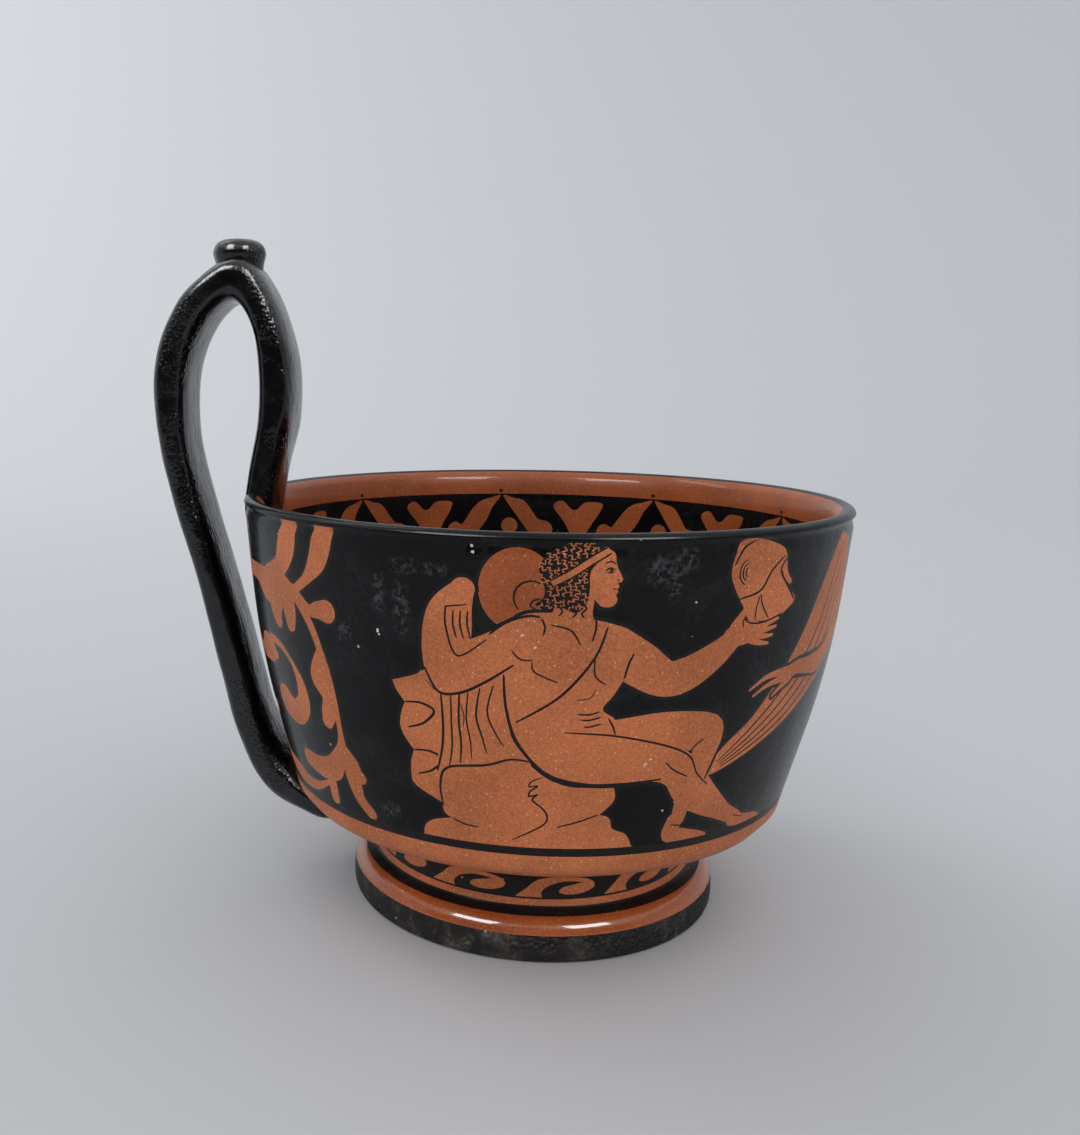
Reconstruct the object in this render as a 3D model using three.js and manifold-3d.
// A one-handled drinking and dipping cup of fired clay: a deep bowl on a low spreading foot, with one
// strap handle that swings high above the rim and carries a small button knob at its top.
// Millimetres, +Z up. The origin is the centre of the foot's flat underside, on the bowl's axis.
// The handle stands in the XZ plane, on the -X side.
import * as THREE from 'three';
import { mergeVertices } from 'three/addons/utils/BufferGeometryUtils.js';
import Module from 'manifold-3d';

// ---- Driving dimensions -------------------------------------------------------------------------

const RIM_RADIUS = 54.5;          // outside of the lip
const RIM_HEIGHT = 75.3;          // top of the lip above the table
const WALL = 3.8;                 // thickness of the thrown wall and of the lip
const LIP_ROUNDING = WALL / 2;    // the lip is a half-round

const TURN_RADIUS = 45.3;         // where the upright wall turns in to the underside
const TURN_HEIGHT = 22.2;
const UNDERSIDE_EDGE = { radius: 43.6, height: 20.0 };

const STEM_RADIUS = 29.5;         // the waist between the bowl and the foot
const STEM_TOP = 13.8;
const STEM_BOTTOM = 9.1;

const FOOT_RADIUS = 34.3;         // the widest part of the foot's edge
const FOOT_REST_RADIUS = 33.8;    // the flat underside
const FOOT_EDGE_HEIGHT = 4.4;
const FOOT_RING = { inner: 31.5, height: 6.6 };
const FOOT_GROOVE = { radius: 30.2, height: 7.6 };

const FLOOR_HEIGHT = 20.5;        // the bowl's inner floor, at its centre
const FLOOR_CORNER = 6.0;         // radius of the inner corner between floor and wall

const STRAP_WIDTH = 15.0;         // across the strap, along Y
const STRAP_THICKNESS = 5.9;
const APEX_HEIGHT = 117.2;        // outside of the strap under the knob
const STRAP_SQUARENESS = 4.0;     // superellipse exponent of the strap's section

const KNOB_RADIUS = 4.5;
const KNOB_TOP = 121.0;
const KNOB_X = -56.2;

const LATHE_SEGMENTS = 72;
const WALL_STEPS = 8;
const LIP_STEPS = 5;
const CORNER_STEPS = 4;
const STRAP_SIDES = 16;
const STRAP_STATIONS = 42;
const KNOB_SEGMENTS = 20;

// ---- Materials ----------------------------------------------------------------------------------

const blackGlossedClay = new THREE.MeshStandardMaterial({
  color: 0x211f20,
  roughness: 0.32,
  metalness: 0.0,
});

// ---- Helpers ------------------------------------------------------------------------------------

const point = (radius, height) => new THREE.Vector2(radius, height);

// Points of a circular arc in the profile plane, angles in degrees.
function arc(centre, radius, fromDegrees, toDegrees, steps) {
  const points = [];
  for (let step = 0; step <= steps; step += 1) {
    const angle = THREE.MathUtils.degToRad(
      THREE.MathUtils.lerp(fromDegrees, toDegrees, step / steps),
    );
    points.push(point(centre.x + radius * Math.cos(angle), centre.y + radius * Math.sin(angle)));
  }
  return points;
}

// Value at t of a row of [position, value] pairs, eased between neighbours.
function eased(pairs, t) {
  for (let index = 1; index < pairs.length; index += 1) {
    const [start, from] = pairs[index - 1];
    const [end, to] = pairs[index];
    if (t <= end) {
      return THREE.MathUtils.lerp(from, to, THREE.MathUtils.smoothstep(t, start, end));
    }
  }
  return pairs[pairs.length - 1][1];
}

// Turns a profile, drawn as radius and height, about the Z axis.
function turned(profile, segments) {
  const geometry = new THREE.LatheGeometry(profile, segments);
  geometry.rotateX(Math.PI / 2);
  return geometry;
}

// ---- The bowl and foot --------------------------------------------------------------------------

// Outside of the upright wall, from the turn to just under the lip: it opens fast at first and then
// runs nearly straight up.
function wallCurve() {
  const span = RIM_RADIUS - TURN_RADIUS;
  const rise = RIM_HEIGHT - TURN_HEIGHT;
  const opening = [[0, 0], [0.08, 0.115], [0.23, 0.34], [0.41, 0.59], [0.63, 0.8], [1, 1]];
  return new THREE.SplineCurve(
    opening.map(([up, out]) => point(TURN_RADIUS + out * span, TURN_HEIGHT + up * rise)),
  );
}

function outerWall() {
  return wallCurve().getSpacedPoints(WALL_STEPS).filter(({ y }) => y < RIM_HEIGHT - LIP_ROUNDING);
}

// The inside of the wall is the outside moved in by the wall's thickness, down to the floor corner.
function innerWall() {
  const lowest = FLOOR_HEIGHT + FLOOR_CORNER;
  return outerWall()
    .filter(({ y }) => y > lowest)
    .map(({ x, y }) => point(x - WALL, y))
    .reverse();
}

function footProfile() {
  const ringMiddle = point(
    (FOOT_REST_RADIUS + FOOT_RING.inner) / 2,
    (FOOT_EDGE_HEIGHT + FOOT_RING.height) / 2 + 0.5,
  );
  return [
    point(0, 0),
    point(FOOT_REST_RADIUS, 0),
    point(FOOT_RADIUS, 0.7),
    point(FOOT_RADIUS, FOOT_EDGE_HEIGHT - 1.4),
    point(FOOT_REST_RADIUS, FOOT_EDGE_HEIGHT),
    ringMiddle,
    point(FOOT_RING.inner, FOOT_RING.height),
    point(FOOT_GROOVE.radius, FOOT_GROOVE.height),
    point(STEM_RADIUS + 0.2, STEM_BOTTOM),
    point(STEM_RADIUS, (STEM_BOTTOM + STEM_TOP) / 2),
    point(STEM_RADIUS + 0.6, STEM_TOP),
    point(STEM_RADIUS + 2.4, STEM_TOP + 1.5),
    point((STEM_RADIUS + UNDERSIDE_EDGE.radius) / 2 + 1, STEM_TOP + 3.1),
    point(UNDERSIDE_EDGE.radius - 2, UNDERSIDE_EDGE.height - 0.9),
    point(UNDERSIDE_EDGE.radius, UNDERSIDE_EDGE.height),
  ];
}

function bowlProfile() {
  const outside = outerWall();
  const lipCentre = point(RIM_RADIUS - LIP_ROUNDING, RIM_HEIGHT - LIP_ROUNDING);
  const inside = innerWall();
  const foot = inside[inside.length - 1];
  const cornerCentre = point(foot.x - FLOOR_CORNER - 2.2, FLOOR_HEIGHT + FLOOR_CORNER);
  return [
    ...footProfile(),
    ...outside,
    ...arc(lipCentre, LIP_ROUNDING, 0, 180, LIP_STEPS),
    ...inside,
    ...arc(cornerCentre, FLOOR_CORNER, 0, -90, CORNER_STEPS),
    point(0, FLOOR_HEIGHT),
  ];
}

// ---- The handle ---------------------------------------------------------------------------------

// Middle line of the strap, from its lower root in the turn, up the outer limb, over the apex and
// down the inner limb into the lip. X and Z only: the strap lies in the XZ plane.
const STRAP_LINE = [
  [-38.6, 18.3],
  [-45.8, 19.7],
  [-51.4, 23.8],
  [-54.8, 30.5],
  [-58.0, 46.0],
  [-62.0, 61.5],
  [-66.0, 75.5],
  [-68.4, 86.0],
  [-68.7, 94.0],
  [-66.7, 103.6],
  [-62.6, 110.0],
  [-57.0, APEX_HEIGHT - STRAP_THICKNESS * 0.6],
  [-52.2, 108.8],
  [-49.5, 101.5],
  [-48.7, 94.0],
  [-49.8, 85.5],
  [-51.6, 77.5],
  [-52.3, 70.5],
];

// Width and thickness along the strap, as shares of its plain section: the lower root is smeared wide
// onto the bowl, the apex is a little thicker, and the upper end spreads on the lip.
const WIDTH_ALONG = [
  [0, 2.7], [0.03, 2.4], [0.08, 1.4], [0.14, 1.05], [0.6, 1.0], [0.9, 1.0], [1, 1.4],
];
const THICKNESS_ALONG = [
  [0, 0.5], [0.05, 0.9], [0.1, 1.06], [0.2, 1.0], [0.5, 0.94], [0.6, 1.16], [0.7, 0.98], [0.93, 1.04],
  [1, 0.5],
];

function strapGeometry() {
  const line = new THREE.CatmullRomCurve3(
    STRAP_LINE.map(([x, z]) => new THREE.Vector3(x, 0, z)),
    false,
    'centripetal',
  );
  // A unit cylinder, bent: its height runs along the line and its circle becomes the strap's section.
  const geometry = new THREE.CylinderGeometry(1, 1, 1, STRAP_SIDES, STRAP_STATIONS);
  const positions = geometry.attributes.position;
  const across = new THREE.Vector3(0, 1, 0);
  const power = 2 / STRAP_SQUARENESS;
  const squared = (value) => Math.sign(value) * Math.abs(value) ** power;
  for (let index = 0; index < positions.count; index += 1) {
    const along = THREE.MathUtils.clamp(positions.getY(index) + 0.5, 0, 1);
    const middle = line.getPointAt(along);
    const outward = new THREE.Vector3().crossVectors(across, line.getTangentAt(along));
    const width = (STRAP_WIDTH / 2) * eased(WIDTH_ALONG, along) * squared(positions.getX(index));
    const depth = (STRAP_THICKNESS / 2) * eased(THICKNESS_ALONG, along)
      * squared(positions.getZ(index));
    middle.addScaledVector(across, width).addScaledVector(outward, depth);
    positions.setXYZ(index, middle.x, middle.y, middle.z);
  }
  return geometry;
}

function knobGeometry() {
  const base = APEX_HEIGHT - STRAP_THICKNESS / 2;
  const neck = APEX_HEIGHT + 0.1;
  const profile = [
    point(0, base),
    point(KNOB_RADIUS * 0.8, base),
    point(KNOB_RADIUS * 0.84, neck),
    point(KNOB_RADIUS, neck + 1.1),
    point(KNOB_RADIUS, neck + 2.2),
    point(KNOB_RADIUS * 0.82, KNOB_TOP - 0.7),
    point(KNOB_RADIUS * 0.45, KNOB_TOP - 0.1),
    point(0, KNOB_TOP),
  ];
  const geometry = turned(profile, KNOB_SEGMENTS);
  geometry.translate(KNOB_X, 0, 0);
  return geometry;
}

// ---- Joining the clay ---------------------------------------------------------------------------

const manifold = await Module();
manifold.setup();

function toSolid(geometry) {
  const bare = geometry.clone();
  bare.deleteAttribute('normal');
  bare.deleteAttribute('uv');
  const merged = mergeVertices(bare, 1e-4);
  return new manifold.Manifold(
    new manifold.Mesh({
      numProp: 3,
      vertProperties: new Float32Array(merged.attributes.position.array),
      triVerts: new Uint32Array(merged.index.array),
    }),
  );
}

function toGeometry(solid) {
  const { vertProperties, triVerts } = solid.getMesh();
  const geometry = new THREE.BufferGeometry();
  geometry.setAttribute('position', new THREE.BufferAttribute(vertProperties, 3));
  geometry.setIndex(new THREE.BufferAttribute(triVerts, 1));
  geometry.computeVertexNormals();
  return geometry;
}

function cupGeometry() {
  const bowl = toSolid(turned(bowlProfile(), LATHE_SEGMENTS));
  const strap = toSolid(strapGeometry());
  const knob = toSolid(knobGeometry());
  return toGeometry(bowl.add(strap).add(knob));
}

// ---- The object ---------------------------------------------------------------------------------

const cup = new THREE.Mesh(cupGeometry(), blackGlossedClay);
cup.name = 'cup';

const object = new THREE.Group();
object.add(cup);

export default object;
